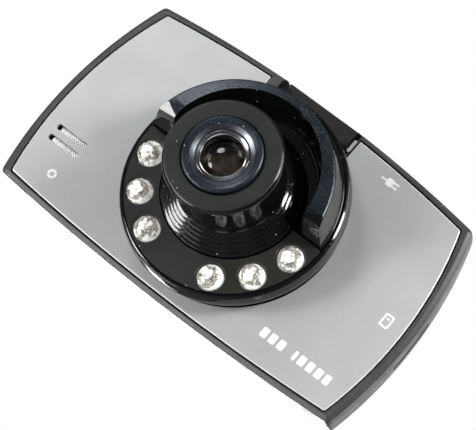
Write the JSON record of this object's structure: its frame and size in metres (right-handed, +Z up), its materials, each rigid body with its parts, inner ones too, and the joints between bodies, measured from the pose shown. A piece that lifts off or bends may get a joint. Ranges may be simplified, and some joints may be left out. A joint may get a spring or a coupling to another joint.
{
  "type": "dash camera",
  "caption": "Flat dash camera body with a forward lens turret under a crescent hood, a ring of lamps below the lens, rear screen and keys, and a bracket socket in its top edge.",
  "frame": {"origin": "middle of the flat seat at the bottom of the bracket socket in the top edge", "axes": "+Z up, out of the bracket socket; +X to the right seen from the front, along the body's length; -Y the way the lens looks; +Y out of the screen side"},
  "size_m": [0.0978, 0.0409, 0.0574],
  "materials": {
    "casing_plastic": "fine textured dark grey",
    "silver_film": "satin silver-grey coating",
    "gloss_black": "glossy",
    "satin_black": "satin",
    "clear_lamp": "clear moulded lamp over a bright cup",
    "coated_glass": "polished, coated",
    "plated_ring": "polished",
    "board_green": "solder mask",
    "chip_black": "moulded",
    "tin_plate": "tinned sheet",
    "screw_steel": "plated",
    "battery_foil": "pouch foil",
    "speaker_cone": "matt",
    "flex_film": "polyimide film",
    "window_glass": "polished, dark"
  },
  "bodies": {
    "camera": {"battery": "battery_foil", "bracket_socket": "gloss_black", "card_socket": "tin_plate", "case_screw_1": "screw_steel", "case_screw_2": "screw_steel", "case_screw_3": "screw_steel", "case_screw_4": "screw_steel", "face_panel": "silver_film", "front_lens": "coated_glass", "front_shell": "casing_plastic", "image_sensor": "chip_black", "ir_filter": "coated_glass", "lcd_module": "tin_plate", "lcd_window": "window_glass", "led_1": "clear_lamp", "led_2": "clear_lamp", "led_3": "clear_lamp", "led_4": "clear_lamp", "led_5": "clear_lamp", "led_6": "clear_lamp", "led_board": "board_green", "led_plate": "satin_black", "lens_barrel": "gloss_black", "lens_holder": "satin_black", "lens_hood": "satin_black", "lens_retaining_ring": "plated_ring", "lens_trim_ring": "satin_black", "lens_tube": "satin_black", "main_board": "board_green", "memory_chip": "chip_black", "microphone": "tin_plate", "motion_sensor": "chip_black", "processor_chip": "chip_black", "rear_lens": "coated_glass", "rear_shell": "casing_plastic", "reset_switch": "chip_black", "sensor_board": "board_green", "sensor_flex": "flex_film", "speaker": "speaker_cone", "speaker_mesh": "tin_plate", "switch_down": "tin_plate", "switch_menu": "tin_plate", "switch_mode": "tin_plate", "switch_power": "tin_plate", "switch_record": "tin_plate", "switch_up": "tin_plate", "turret_housing": "gloss_black", "turret_screw_1": "screw_steel", "turret_screw_2": "screw_steel", "turret_screw_3": "screw_steel", "usb_socket": "tin_plate"},
    "power_key": {"key_power": "casing_plastic"},
    "menu_key": {"key_menu": "casing_plastic"},
    "mode_key": {"key_mode": "casing_plastic"},
    "up_key": {"key_up": "casing_plastic"},
    "record_key": {"key_record": "casing_plastic"},
    "down_key": {"key_down": "casing_plastic"},
    "reset_pin": {"reset_plunger": "satin_black"}
  },
  "joints": [
    {"name": "power_key_press", "type": "slide", "parent": "camera", "child": "power_key", "axis": [0, -1, 0], "range_m": [0, 0.0004], "stiffness_N_per_m": 600, "springref_m": -0.0002},
    {"name": "menu_key_press", "type": "slide", "parent": "camera", "child": "menu_key", "axis": [0, -1, 0], "range_m": [0, 0.0004], "stiffness_N_per_m": 600, "springref_m": -0.0002},
    {"name": "mode_key_press", "type": "slide", "parent": "camera", "child": "mode_key", "axis": [0, -1, 0], "range_m": [0, 0.0004], "stiffness_N_per_m": 600, "springref_m": -0.0002},
    {"name": "up_key_press", "type": "slide", "parent": "camera", "child": "up_key", "axis": [0, -1, 0], "range_m": [0, 0.0004], "stiffness_N_per_m": 600, "springref_m": -0.0002},
    {"name": "record_key_press", "type": "slide", "parent": "camera", "child": "record_key", "axis": [0, -1, 0], "range_m": [0, 0.0004], "stiffness_N_per_m": 600, "springref_m": -0.0002},
    {"name": "down_key_press", "type": "slide", "parent": "camera", "child": "down_key", "axis": [0, -1, 0], "range_m": [0, 0.0004], "stiffness_N_per_m": 600, "springref_m": -0.0002},
    {"name": "reset_press", "type": "slide", "parent": "camera", "child": "reset_pin", "axis": [0, 0, 1], "range_m": [0, 0.0003], "stiffness_N_per_m": 300, "springref_m": -0.0002}
  ]
}
